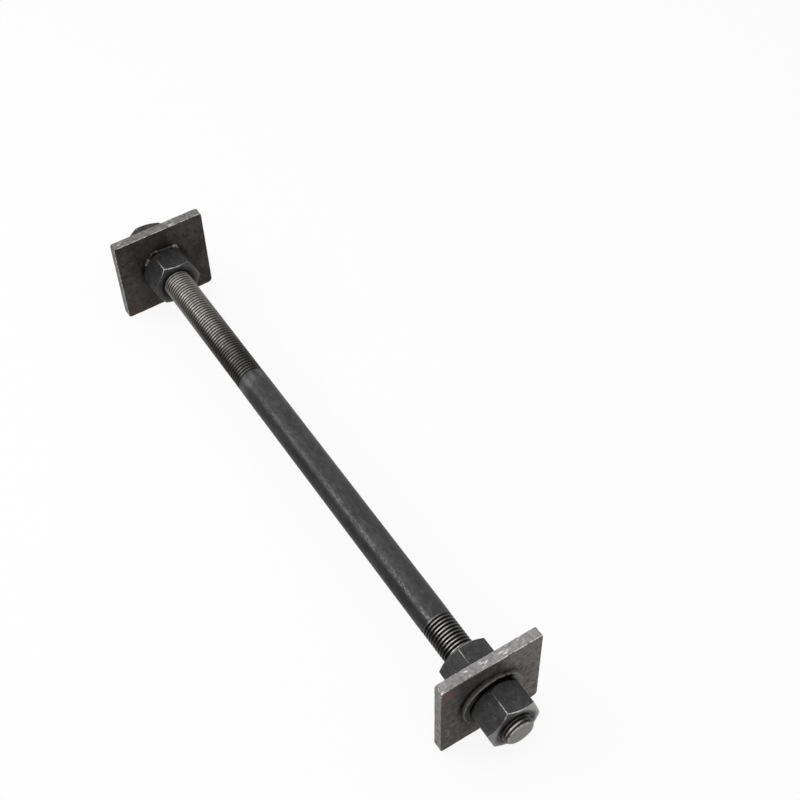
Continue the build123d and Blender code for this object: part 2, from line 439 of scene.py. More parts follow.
def hexagon_nut(node, outward, finish, shine, wear_share):
    """A double bevelled nut: a hexagon bar whose radius is cut by a cone at each end.

    The rows on each flat run between the two curves where the cones meet the hexagon, so
    those curved rims are lines of the grid. The faces are rings, and the thread lies between.
    Wear is near(distance to an edge), most by the upper corner and towards the outer end.
    The end face gets a painted reflection by the share called shine, dark by the mouth and at
    the upper corner, and the mouth gets a mark of grime and painted shade.
    """
    seat, height, _ = extent(node, outward)
    angle = nut_angles()
    bar = hexagon_radius(angle, NUT_FLAT, NUT_CORNER_SHARPNESS)
    seat_rim = (bar - NUT_SEAT_BEVEL_RADIUS) * tan(NUT_SEAT_BEVEL_ANGLE)
    outer_rim = height - (bar - NUT_OUTER_BEVEL_RADIUS) * tan(NUT_OUTER_BEVEL_ANGLE)
    eased = (1 - np.cos(pi * np.linspace(0, 1, NUT_FLAT_ROWS)))[:, None] / 2
    crowded = 1 - np.linspace(1, 0, NUT_BEVEL_ROWS)[:, None] ** 2
    seat_cone = seat_rim * crowded
    flats = seat_rim + (outer_rim - seat_rim) * eased
    outer_cone = height - (height - outer_rim) * crowded[::-1]
    up = np.vstack([seat_cone[:-1], flats, outer_cone[1:]])
    seat_bevel = NUT_SEAT_BEVEL_RADIUS + up / tan(NUT_SEAT_BEVEL_ANGLE)
    outer_bevel = NUT_OUTER_BEVEL_RADIUS + (height - up) / tan(NUT_OUTER_BEVEL_ANGLE)
    radius = soft_least(bar, seat_bevel, outer_bevel)

    from_corner = np.minimum(angle % SIXTH, SIXTH - angle % SIXTH)
    corner_wear = near(bar * np.sin(from_corner), NUT_EDGE_WEAR_WIDTH)
    outer_end = ramp(up, 0.2 * height, 0.9 * height)
    corner_wear = corner_wear * (NUT_LEAST_CORNER_WEAR + (1 - NUT_LEAST_CORNER_WEAR) * outer_end)
    corner_wear = corner_wear * (up > seat_rim) * (up < outer_rim)
    rim_wear = near(up - outer_rim, NUT_EDGE_WEAR_WIDTH)
    seat_wear = NUT_SEAT_WEAR * near(up - seat_rim, NUT_EDGE_WEAR_WIDTH)
    upper = near(signed(angle - NUT_MOST_WORN_ANGLE), NUT_WEAR_REACH)
    wear = np.maximum(np.maximum(corner_wear, rim_wear), seat_wear)
    wear = wear * (NUT_LEAST_WEAR + (1 - NUT_LEAST_WEAR) * upper) * wear_share

    turned = angle + NUT_TURNS[node]
    share = np.linspace(1, 0, NUT_FACE_RINGS + 1)[1:, None] + 0 * turned
    face = NUT_MOUTH_RADIUS + (NUT_OUTER_BEVEL_RADIUS - NUT_MOUTH_RADIUS) * share
    under = NUT_MOUTH_RADIUS + (NUT_SEAT_BEVEL_RADIUS - NUT_MOUTH_RADIUS) * share[::-1]
    under = np.vstack([under, np.full(turned.shape, NUT_SEAT_BEVEL_RADIUS)])
    bore_up, bore_radius, bore_crest = nut_thread(seat, outward, height, turned)

    def in_order(outside, on_face, in_bore, on_seat):
        """All rows of the grid, from the seat's rim over the outside and through the bore."""
        return np.vstack([outside, on_face, in_bore, on_seat, outside[:1]])

    all_up = in_order(up, 0 * face + height, bore_up, 0 * under)
    all_radius = in_order(radius, face, bore_radius, under)
    grid = around_axis(seat + outward * all_up, all_radius, turned)
    rim_height = in_order(0 * up + outer_rim, 0 * face, 0 * bore_up, 0 * under)
    on_face = (all_up > rim_height - 0.05 * MM) * (all_up > height / 2)
    # The end face's painted reflection: dark by the mouth and at the upper corner.
    face_sheen = ramp(all_radius, NUT_MOUTH_RADIUS + 1.0 * MM, NUT_FLAT)
    face_sheen = face_sheen * (1 - NUT_FACE_DARK_SHARE * near(signed(angle), NUT_FACE_DARK_REACH))
    # Grime and painted shade in the mouth, fading out over the first millimetres of the face.
    stain_and_shade = ramp(all_radius - NUT_MOUTH_RADIUS, *NUT_MOUTH_SHADE_RAMP)
    out_of_bore = in_order(0 * up + 1, 0 * face + 1, 0 * bore_up, 0 * under + 1)
    marks = {
        "worn_edge": in_order(wear, 0 * face, NUT_THREAD_WEAR * bore_crest, 0 * under),
        "turned_face": on_face * face_sheen * shine,
        "mouth": stain_and_shade * out_of_bore,
    }
    make_piece(node + "_body", node, finish, grid, marks)


# Washers


def round_washer(node, outward, finish):
    """A ring turned from a flat profile, with its outer rims rounded as quarter circles."""
    seat, thickness, outside = extent(node, outward)
    rounding = WASHER_EDGE_ROUNDING
    rim = outside - rounding * (1 - np.sin(QUARTER_TURN))
    rim_up = thickness - rounding * (1 - np.cos(QUARTER_TURN))
    face = np.linspace(WASHER_HOLE_RADIUS, outside - rounding, WASHER_FACE_RINGS + 1)[:-1]
    none = 0 * face
    radius = np.hstack([face, rim, rim[::-1], face[::-1], face[:1]])
    up = np.hstack([none + thickness, rim_up, thickness - rim_up[::-1], none, [thickness]])
    rim_wear = near(rounding * (QUARTER_TURN - pi / 4), WASHER_EDGE_WEAR_WIDTH)
    wear = np.hstack([none, rim_wear, rim_wear[::-1], none, none[:1]])
    # Where the finish paints the wall lit, fading to painted shade towards the seat.
    wall = ramp(radius, outside - 0.5 * rounding, outside) * ramp(up, 0, 0.7 * thickness)
    # The outer ring, which the finish gives painted reflections.
    sheen_ring = ramp(radius, WASHER_SHEEN_RADIUS, WASHER_SHEEN_RADIUS + 2 * MM)
    angle = ring_of_angles(WASHER_COLUMNS)
    grid = around_axis((seat + outward * up)[:, None], radius[:, None], angle)
    marks = {"worn_edge": wear[:, None], "wall": wall[:, None], "sheen_ring": sheen_ring[:, None]}
    make_piece(node + "_ring", node, finish, grid, marks)


# Plates


def plate_outline(half, radii):
    """A square with rounded corners, as points and outward normals, anticlockwise.

    Each corner is an arc of its own radius, radii in the order +Y+Z, -Y+Z, -Y-Z, +Y-Z. The
    straights between the arcs are evenly spaced.
    """
    turn = np.linspace(0, pi / 2, PLATE_CORNER_POINTS)
    points = []
    normals = []
    for corner, radius in enumerate(radii):
        heading = corner * pi / 2
        along = np.array([np.cos(heading), np.sin(heading)])
        aside = np.array([-along[1], along[0]])
        centre = (half - radius) * (along + aside)
        bearing = heading + turn
        arc_normal = np.stack([np.cos(bearing), np.sin(bearing)], axis=-1)
        arc = centre + radius * arc_normal
        following = radii[(corner + 1) % 4]
        finish = half * aside - (half - following) * along
        share = np.linspace(0, 1, PLATE_STRAIGHT_POINTS + 2)[1:-1, None]
        straight = arc[-1] + (finish - arc[-1]) * share
        points += [arc, straight]
        normals += [arc_normal, np.broadcast_to(aside, straight.shape)]
    return np.vstack(points + [points[0][:1]]), np.vstack(normals + [normals[0][:1]])


def square_plate(node, outward, seed, rubbed_and_lit, scratches, finish):
    """A square plate with a round hole, sheared edges and rounded rims.

    A face's rows go from the hole's circle to the outline in equal shares. A rim is a quarter
    circle whose radius wanders along the edge, and the sheared wall is hollowed a little
    unevenly, never outwards. The outer rim is worn bright along the half of the top edge
    towards +Y, by the share that is given; the top corner on the other side gets that share as
    wear and a painted highlight. Scratches are (place along the top edge, half width) pairs.
    """
    inner, thickness, half = extent(node, outward)
    radii = [PLATE_CORNER_RADIUS] * 3 + [PLATE_WORN_CORNER_RADIUS]
    outline, normal = plate_outline(half, radii)
    edge_place = np.column_stack([outline, np.zeros(len(outline))])
    wander = PLATE_EDGE_WANDER * unevenness(edge_place, PLATE_EDGE_WANDER_LENGTH, seed)
    rounding = PLATE_EDGE_ROUNDING * (1 + wander)
    bearing = np.arctan2(outline[:, 1], outline[:, 0])
    hole = PLATE_HOLE_RADIUS * np.stack([np.cos(bearing), np.sin(bearing)], axis=-1)
    rim_start = outline - rounding[:, None] * normal
    shares = np.linspace(0, 1, PLATE_FACE_RINGS + 1)[:-1, None, None]
    face = hole + (rim_start - hole) * shares
    turn = QUARTER_TURN[:, None]
    inset = rounding * (1 - np.sin(turn))
    drop = rounding * (1 - np.cos(turn))
    rim = outline - inset[..., None] * normal
    wall_share = np.linspace(0, 1, PLATE_WALL_ROWS + 2)[1:-1, None]
    wall_drop = rounding + (thickness - 2 * rounding) * wall_share
    wall = np.broadcast_to(outline, (PLATE_WALL_ROWS,) + outline.shape)
    wall_place = np.concatenate([wall, wall_drop[..., None]], axis=-1)
    hollow = np.maximum(1 + unevenness(wall_place, PLATE_WALL_HOLLOW_LENGTH, seed + 1), 0)
    hollow = PLATE_WALL_HOLLOW * hollow * np.sin(pi * wall_share)
    wall = wall - hollow[..., None] * normal

    flat = np.vstack([face, rim, wall, rim[::-1], face[::-1], face[:1]])
    none = np.zeros(face.shape[:2])
    depth = [none, drop, wall_drop, thickness - drop[::-1], none + thickness, none[:1]]
    station = inner + outward * (thickness - np.vstack(depth))
    grid = np.stack([station, flat[..., 0], ROD_HEIGHT + flat[..., 1]], axis=-1)

    across, up = outline[:, 0], outline[:, 1]
    on_top = up > half - MM
    along_top = ramp(across, *PLATE_RUBBED_RAMP) * on_top
    # Wear and a painted highlight at the top corner towards -Y.
    corner_shine = rubbed_and_lit * near(np.hypot(across + half, up - half), PLATE_CORNER_SHINE_REACH)
    bright = np.maximum(rubbed_and_lit * along_top, corner_shine)
    bright = PLATE_LEAST_WEAR + (1 - PLATE_LEAST_WEAR) * bright
    rim_wear = near(rounding * (turn - pi / 4), PLATE_EDGE_WEAR_WIDTH)
    sheared = ramp(turn + 0 * rounding, pi / 8, pi / 2)
    walls = np.ones(wall.shape[:2])
    back_wear = PLATE_BACK_WEAR * rim_wear[::-1]
    wear = [none, rim_wear * bright, 0 * walls, back_wear, none, none[:1]]
    spread = [near(across - place, width) for place, width in scratches]
    scratched = np.maximum(sum(spread) * on_top, PLATE_CORNER_SCRATCHES * corner_shine)
    marks = {
        "worn_edge": np.vstack(wear),
        "sheared": np.vstack([none, sheared, walls, sheared[::-1], none, none[:1]]),
        "scratched": scratched,
    }
    make_piece(node + "_steel", node, finish, grid, marks)


# Weld


def weld_seam(node, nut, finish):
    """A short lumpy weld along a hexagon's foot, between two angles.

    Its section is a quarter of the curve |a|^1.5 + |b|^1.5 = leg^1.5 over a root inside the
    nut. The leg is a least value plus a bell curve at each lump. At both ends the section
    shrinks to a point as the fourth root of 1 - |share|^12 along the seam.
    """
    seat, _, _ = extent(node, 1)
    angle = np.linspace(*WELD_SPAN, WELD_COLUMNS)
    share = np.linspace(-1, 1, WELD_COLUMNS)
    place = np.stack([np.cos(angle), np.sin(angle), 0 * angle], axis=-1) * NUT_FLAT
    lumps = (WELD_LUMP_SIZES * near(angle[:, None] - WELD_LUMPS, WELD_LUMP_WIDTH)).sum(axis=1)
    leg = WELD_LEAST_LEG + (WELD_MOST_LEG - WELD_LEAST_LEG) * np.minimum(lumps, 1)
    leg = leg * (1 - WELD_UNEVENNESS + WELD_UNEVENNESS * unevenness(place, 2 * MM, 5))
    turn = np.linspace(0, pi / 2, WELD_ROWS)[:, None]
    foot = hexagon_radius(angle - NUT_TURNS[nut], NUT_FLAT, WELD_CORNER_SHARPNESS)
    swell = leg * np.sin(turn) ** (2 / WELD_BULGE)
    radius = foot * (1 + swell / NUT_FLAT)
    up = leg * np.cos(turn) ** (2 / WELD_BULGE)
    root = np.full((1, len(angle)), WELD_ROOT_RADIUS)
    radius = np.vstack([root, radius, root, root])
    up = np.vstack([up[:1], up, 0 * root, up[:1]])
    closing = (1 - np.abs(share) ** 12) ** 0.25
    radius = foot + (radius - foot) * closing
    up = up * closing
    grid = around_axis(seat + up, radius, angle)
    marks = {"crown": np.minimum(lumps, 1)}
    make_piece(node + "_metal", node, finish, grid, marks)


# Finishes

# Colours, as linear red, green and blue
OXIDE_DARK = (0.0205, 0.0202, 0.0212)
OXIDE_LIGHT = (0.045, 0.0447, 0.0458)
OXIDE_GRAIN = (0.085, 0.085, 0.086)
OXIDE_IN_SHADE = (0.006, 0.006, 0.006)
OXIDE_NICK = (0.25, 0.25, 0.245)
TURNED_DARK = (0.165, 0.165, 0.163)
TURNED_LIGHT = (0.255, 0.255, 0.252)
# Painted highlight on the nuts' turned end faces, towards +Y
TURNED_HIGHLIGHT = (0.50, 0.495, 0.48)
NUT_EDGE = (0.56, 0.55, 0.53)
# Painted shade on the outer nut's end face, at its upper left
NUT_FACE_SHADE = (0.014, 0.0105, 0.009)
# Grime and painted shade in the nuts' mouths
NUT_MOUTH_SHADE = (0.003, 0.003, 0.0025)

NEAR_SCALE = ((0.052, 0.047, 0.042), (0.135, 0.121, 0.109))
NEAR_SHEAR = ((0.150, 0.145, 0.145), (0.285, 0.277, 0.276))
NEAR_BLUSH = ((0.150, 0.080, 0.068), (305 * MM, -45 * MM, 91 * MM))
# The far plate's scale and shear colours are darker copies of the near plate's, as painted shade
FAR_SCALE_SHADED = ((0.026, 0.024, 0.0215), (0.058, 0.053, 0.048))
FAR_SHEAR_SHADED = ((0.095, 0.092, 0.088), (0.225, 0.221, 0.214))
FAR_BLUSH = ((0.075, 0.043, 0.036), (-295 * MM, -42 * MM, 8 * MM))
# Painted contact shade round the washer and the nut's foot
CONTACT_SHADE = (0.006, 0.005, 0.005)
# Painted shadow on the plate under the washer
PLATE_UNDER_SHADOW = (0.010, 0.009, 0.008)
PLATE_NICK = (0.32, 0.31, 0.30)
PLATE_SCORE = (0.78, 0.77, 0.75)
PLATE_EDGE = (0.70, 0.69, 0.67)

BAR_DARK = (0.021, 0.0212, 0.0222)
BAR_LIGHT = (0.043, 0.0432, 0.0448)
BAR_DARK_SPOT = (0.014, 0.013, 0.0135)
BAR_LIGHT_SPOT = (0.064, 0.061, 0.064)
BAR_GRAIN = (0.070, 0.072, 0.075)
# Brown colour and painted shade on the rod's lower left side
BAR_BROWN_AND_SHADE = (0.0105, 0.0097, 0.0087)
BAR_SHEEN = (0.062, 0.062, 0.064)
# Painted light on the rod's right side
BAR_RIGHT_LIT = (0.052, 0.0525, 0.0545)
# Light nicks, and the painted highlight along the rod's top
BAR_NICK_AND_HIGHLIGHT = (0.30, 0.30, 0.295)
BAR_SCUFF = (0.15, 0.15, 0.145)
SHORT_CREST = (0.070, 0.068, 0.065)
# Painted highlight on the short thread's crests
SHORT_HIGHLIGHT = (0.460, 0.450, 0.430)
SHORT_ROOT = (0.004, 0.004, 0.004)
END_ROOT = (0.014, 0.011, 0.009)
LONG_CREST_DULL = (0.024, 0.023, 0.0213)
LONG_CREST_FRESH = (0.175, 0.168, 0.156)
# Painted highlight on the long thread's crests, dull and fresh
LONG_HIGHLIGHT_DULL = (0.085, 0.081, 0.075)
LONG_HIGHLIGHT_FRESH = (0.400, 0.384, 0.355)
LONG_ROOT_DULL = (0.006, 0.0055, 0.005)
LONG_ROOT_FRESH = (0.014, 0.013, 0.0115)
# Painted shade on the thread crests' lower left
CREST_SHADE = (0.015, 0.013, 0.0115)
CHAMFER_BROWN = (0.034, 0.028, 0.024)
# Grime and painted shade in the gap by the short end's nut
END_GRIME_AND_SHADE = (0.008, 0.007, 0.006)
END_FACE_DARK = (0.095, 0.091, 0.086)
END_FACE_LIGHT = (0.165, 0.160, 0.152)
END_RIM = (0.42, 0.41, 0.39)

# Near black: the washer's own dark oxide, darkened further as painted shade from the nut
WASHER_DARK = (0.003, 0.0028, 0.0026)
WASHER_LIGHT = (0.008, 0.0077, 0.0073)
WASHER_GRAIN = (0.018, 0.0172, 0.016)
# Painted reflections on the washer's outer ring
WASHER_SHEEN = (0.240, 0.235, 0.226)
# Painted light on the washer's wall
WASHER_WALL_LIT = (0.140, 0.134, 0.125)
WASHER_EDGE = (0.30, 0.29, 0.27)

WELD_SCALE = (0.024, 0.022, 0.020)
# Bright metal with painted glints on the weld's lumps
WELD_CROWN_GLINT = (0.29, 0.28, 0.27)

# Sockets of a mix node that hold colours
MIX_FIRST, MIX_SECOND, MIX_RESULT = 6, 7, 2

# Places of single marks on the pieces
# Centre of the painted shade on the outer nut's end face
NUT_FACE_SHADE_PLACE = (340.5 * MM, -7.5 * MM, ROD_HEIGHT + 14.0 * MM)
SCUFF_STATION = -96 * MM


def feed(node, inputs):
    """Links each input whose value is a socket, and writes any other value on the input."""
    for key, value in inputs.items():
        socket = node.inputs[key]
        if isinstance(value, bpy.types.NodeSocket):
            node.id_data.links.new(value, socket)
        else:
            socket.default_value = (*value, 1) if socket.type == "RGBA" else value


def add_node(tree, kind, inputs, **settings):
    """A new node with those inputs and settings."""
    node = tree.nodes.new(kind)
    for setting, value in settings.items():
        setattr(node, setting, value)
    feed(node, inputs)
    return node


def shade(colour, share):
    """A colour made darker or lighter by a factor."""
    return [share * channel for channel in colour]


class Finish:
    """A material under construction, with a method for each kind of node that is used.

    It starts from a base colour, and each coat is laid over what is there already.
    """

    def __init__(self, name):
        self.material = bpy.data.materials.new(name)
        self.material.use_nodes = True
        self.add = partial(add_node, self.material.node_tree)
        self.place = self.add("ShaderNodeTexCoord", {}).outputs["Object"]
        self.colour = None

    def stretched(self, stretch, centre=(0, 0, 0)):
        """The place on the piece, measured from a centre and multiplied by stretch."""
        shift = [-c * s for c, s in zip(centre, stretch)]
        inputs = {"Vector": self.place, "Location": shift, "Scale": stretch}
        return self.add("ShaderNodeMapping", inputs, vector_type="POINT").outputs["Vector"]

    def along(self, axis):
        """The place on the piece along one axis, in metres."""
        return self.add("ShaderNodeSeparateXYZ", {0: self.place}).outputs[axis]

    def noise(self, size, detail=3.0, roughness=0.55, stretch=(1, 1, 1), warp=0.0):
        """Noise from 0 to 1 whose blotches are about that size across, in metres."""
        inputs = {"Vector": self.stretched(stretch), "Scale": 1 / size, "Detail": detail}
        inputs |= {"Roughness": roughness, "Distortion": warp}
        return self.add("ShaderNodeTexNoise", inputs).outputs["Fac"]

    def mark(self, name):
        """The piece's own attribute of that name."""
        return self.add("ShaderNodeAttribute", {}, attribute_name=name).outputs["Fac"]

    def math(self, operation, first, second=0.0):
        """One arithmetic operation on two values."""
        return self.add("ShaderNodeMath", {0: first, 1: second}, operation=operation).outputs[0]

    def all_of(self, *values):
        """The product of several values."""
        return reduce(partial(self.math, "MULTIPLY"), values)

    def sum_of(self, *values):
        """The sum of several values."""
        return reduce(partial(self.math, "ADD"), values)

    def ramp(self, value, low, high, start=0.0, end=1.0):
        """A value taken from low..high to start..end, and held there."""
        inputs = {"Value": value, "From Min": low, "From Max": high}
        inputs |= {"To Min": start, "To Max": end}
        spread = self.add("ShaderNodeMapRange", inputs, interpolation_type="SMOOTHSTEP")
        return spread.outputs["Result"]

    def blend(self, share, first, second):
        """The first colour where the share is 0 and the second where it is 1."""
        inputs = {"Factor": share, MIX_FIRST: first, MIX_SECOND: second}
        return self.add("ShaderNodeMix", inputs, data_type="RGBA").outputs[MIX_RESULT]

    def base(self, share, first, second):
        """Makes the blend of two colours the colour to start from."""
        self.colour = self.blend(share, first, second)

    def coat(self, colour, *shares):
        """Lays a colour over the present one, by the product of those shares."""
        self.colour = self.blend(self.all_of(*shares), self.colour, colour)

    def distance(self, centre, stretch):
        """How far the place on the piece is from a centre, in stretched metres."""
        inputs = {0: self.stretched(stretch, centre)}
        return self.add("ShaderNodeVectorMath", inputs, operation="LENGTH").outputs["Value"]

    def near_place(self, centre, reach, stretch=(1, 1, 1)):
        """1 at a point of the piece, falling to 0 at that reach, where stretch is 1."""
        return self.ramp(self.distance(centre, stretch), 0.2 * reach, reach, 1.0, 0.0)

    def near_line(self, across, height, reach):
        """1 on a line along X, at that Y and Z, falling to 0 at that reach."""
        return self.near_place((0, across, height), reach, (0, 1, 1))

    def circle_on_face(self, station, radius, width):
        """1 on a circle round the rod's axis at a station, falling to 0 a width to each side."""
        distance = self.distance((station, 0, ROD_HEIGHT), (3, 1, 1))
        away = self.math("ABSOLUTE", self.math("SUBTRACT", distance, radius))
        return self.ramp(away, 0.3 * width, width, 1.0, 0.0)

    def specks(self, size, density, patch_size, stretch=(1, 1, 1)):
        """Small separate specks, 0 or 1, that gather in patches. More density gives more."""
        fine = self.noise(size, detail=1.0, roughness=0.5, stretch=stretch, warp=0.4)
        patch = self.ramp(self.noise(patch_size, detail=2.0), 0.36, 0.62)
        least = 0.80 - 0.12 * density
        return self.all_of(self.ramp(fine, least, least + 0.07), patch)

    def finish(self, roughness, heights, metallic, gloss):
        """Wires the shader. Heights are (value, depth in metres) pairs, added up as bumps."""
        below = {}
        for value, depth in heights:
            bump = {"Strength": 1.0, "Distance": depth, "Height": value, **below}
            below = {"Normal": self.add("ShaderNodeBump", bump).outputs["Normal"]}
        shader = self.material.node_tree.nodes["Principled BSDF"]
        feed(shader, {"Base Color": self.colour, "Roughness": roughness, **below})
        feed(shader, {"Metallic": metallic, "Specular IOR Level": gloss})
        return self.material


def black_oxide(name):
    """Dark oxide on a nut: cloudy charcoal, light nicks, worn edges, a turned end face with
    painted highlight and shade, and grime with painted shade in the mouth.
    """
    steel = Finish(name)
    clouds = steel.noise(6 * MM, detail=5, roughness=0.6)
    grain = steel.noise(0.6 * MM, roughness=0.7)
    steel.base(steel.ramp(clouds, 0.32, 0.70), OXIDE_DARK, OXIDE_LIGHT)
    steel.coat(OXIDE_GRAIN, steel.ramp(grain, 0.42, 0.75, 0.0, 0.4))
    turned = steel.blend(steel.ramp(clouds, 0.3, 0.7), TURNED_DARK, TURNED_LIGHT)
    # Painted highlight on the turned end face towards +Y. The face mark also carries the painted
    # dark by the mouth and at the upper corner.
    right = steel.ramp(steel.along("Y"), 6 * MM, 16 * MM)
    turned = steel.blend(steel.all_of(right, 0.6), turned, TURNED_HIGHLIGHT)
    steel.coat(turned, steel.mark("turned_face"))
    # Painted shade at the upper left of the outer nut's end face.
    steel.coat(NUT_FACE_SHADE, steel.near_place(NUT_FACE_SHADE_PLACE, 14 * MM), 0.95)
    steel.coat(OXIDE_IN_SHADE, steel.ramp(steel.along("X"), 100 * MM, -200 * MM, 0.0, 0.25))
    nicks = steel.specks(0.7 * MM, 1.1, 9 * MM)
    scratches = steel.specks(0.5 * MM, 1.1, 12 * MM, stretch=(0.16, 1, 1))
    steel.coat(OXIDE_NICK, steel.math("MAXIMUM", nicks, scratches), 0.60)
    chipped = steel.ramp(steel.noise(1.8 * MM, detail=4, roughness=0.7), 0.30, 0.56)
    edge = steel.all_of(steel.mark("worn_edge"), chipped)
    steel.coat(NUT_EDGE, steel.ramp(edge, 0.12, 0.80))
    # Grime and painted shade in the mouth.
    steel.coat(NUT_MOUTH_SHADE, steel.mark("mouth"))
    roughness = steel.ramp(grain, 0.3, 0.8, 0.40, 0.60)
    heights = [(clouds, 0.10 * MM), (grain, 0.04 * MM)]
    return steel.finish(roughness, heights, metallic=0.35, gloss=0.22)


def hot_rolled_plate(name, node, outward, scale, shear, blush, lean):
    """Mill scale on a plate: warm mottled grey, lighter scraped shear marks on its edges.

    Scale and shear are pairs of a dark and a light colour. The face gets lighter towards +Y by
    the share called lean. Painted shade lies about the rod's axis, round the nut's foot, round
    and under the washer, and one corner has a rusty blush, given by its colour and place.
    """
    dark, light = scale
    inner, thickness, _ = extent(node, outward)
    outer = inner + outward * thickness
    steel = Finish(name)
    clouds = steel.noise(17 * MM, detail=4, roughness=0.58)
    mottle = steel.noise(4.5 * MM, detail=5, roughness=0.62)
    grain = steel.noise(0.5 * MM, roughness=0.65)
    streaks = steel.noise(6 * MM, detail=4, roughness=0.6, stretch=(1, 1, 0.25), warp=1.0)
    right = steel.ramp(steel.along("Y"), -45 * MM, 50 * MM)
    lightness = steel.sum_of(
        steel.all_of(clouds, 0.90),
        steel.all_of(steel.sum_of(right, -0.5), lean),
        steel.all_of(steel.sum_of(streaks, -0.5), right, 1.5),
        steel.all_of(steel.near_line(-50 * MM, 20 * MM, 75 * MM), -0.4 * lean),
        steel.all_of(steel.near_line(34 * MM, 84 * MM, 30 * MM), 0.34),
    )
    steel.base(steel.ramp(lightness, 0.20, 0.75), dark, light)
    steel.coat(shade(dark, 0.62), steel.ramp(mottle, 0.50, 0.64, 0.0, 0.60))
    steel.coat(shade(light, 1.25), steel.ramp(mottle, 0.46, 0.34, 0.0, 0.40))
    steel.coat(shade(light, 1.5), steel.ramp(grain, 0.5, 0.8, 0.0, 0.3))
    # Painted shade on the face round the rod's axis, about the washer and nut.
    steel.coat(shade(dark, 0.45), steel.near_line(0, ROD_HEIGHT, 46 * MM), 0.55)
    # Painted contact shade: a ring round the washer, most on its left, and a ring round the
    # nut's foot.
    left = steel.ramp(steel.along("Y"), 10 * MM, -20 * MM, 0.20, 0.95)
    steel.coat(CONTACT_SHADE, steel.circle_on_face(outer, 32 * MM, 4.2 * MM), left)
    steel.coat(CONTACT_SHADE, steel.circle_on_face(inner, 25.5 * MM, 4.0 * MM), 0.65)
    # Painted shadow under the washer.
    under_washer = (outer, -21 * MM, ROD_HEIGHT - 29 * MM)
    steel.coat(PLATE_UNDER_SHADOW, steel.near_place(under_washer, 15 * MM), 0.60)
    steel.coat(PLATE_NICK, steel.specks(0.6 * MM, 0.7, 16 * MM), 0.35)
    patchy = steel.ramp(mottle, 0.40, 0.62)
    rust, corner = blush
    steel.coat(rust, steel.near_place(corner, 15 * MM), patchy, 0.75)

    face = steel.colour
    dark, light = shear
    drag = steel.noise(2.2 * MM, detail=4, roughness=0.65, stretch=(0.5, 1, 1))
    blotch = steel.noise(7 * MM, roughness=0.5, warp=0.5)
    steel.base(steel.ramp(drag, 0.24, 0.76), dark, light)
    steel.coat(shade(dark, 0.60), steel.ramp(blotch, 0.54, 0.68, 0.0, 0.6))
    left_wall = steel.ramp(steel.along("Y"), -47.0 * MM, -49.2 * MM)
    steel.coat(shade(dark, 0.45), left_wall, steel.ramp(blotch, 0.60, 0.42, 0.0, 0.65))
    steel.coat(shade(light, 1.35), steel.ramp(grain, 0.45, 0.75, 0.0, 0.3))
    sheared = steel.mark("sheared")
    steel.base(sheared, face, steel.colour)
    scores = steel.noise(1.1 * MM, detail=1, stretch=(1, 0.17, 1), warp=0.3)
    scratched = steel.ramp(steel.mark("scratched"), 0.0, 1.0)
    steel.coat(PLATE_SCORE, steel.ramp(scores, 0.56, 0.61), sheared, scratched, 0.70)
    chipped = steel.ramp(steel.noise(2.6 * MM, roughness=0.7), 0.36, 0.52)
    edge = steel.all_of(steel.mark("worn_edge"), chipped)
    steel.coat(PLATE_EDGE, steel.ramp(edge, 0.15, 0.80))
    roughness = steel.ramp(mottle, 0.3, 0.75, 0.46, 0.66)
    heights = [(clouds, 0.20 * MM), (mottle, 0.05 * MM), (grain, 0.025 * MM)]
    return steel.finish(roughness, heights, metallic=0.35, gloss=0.12)


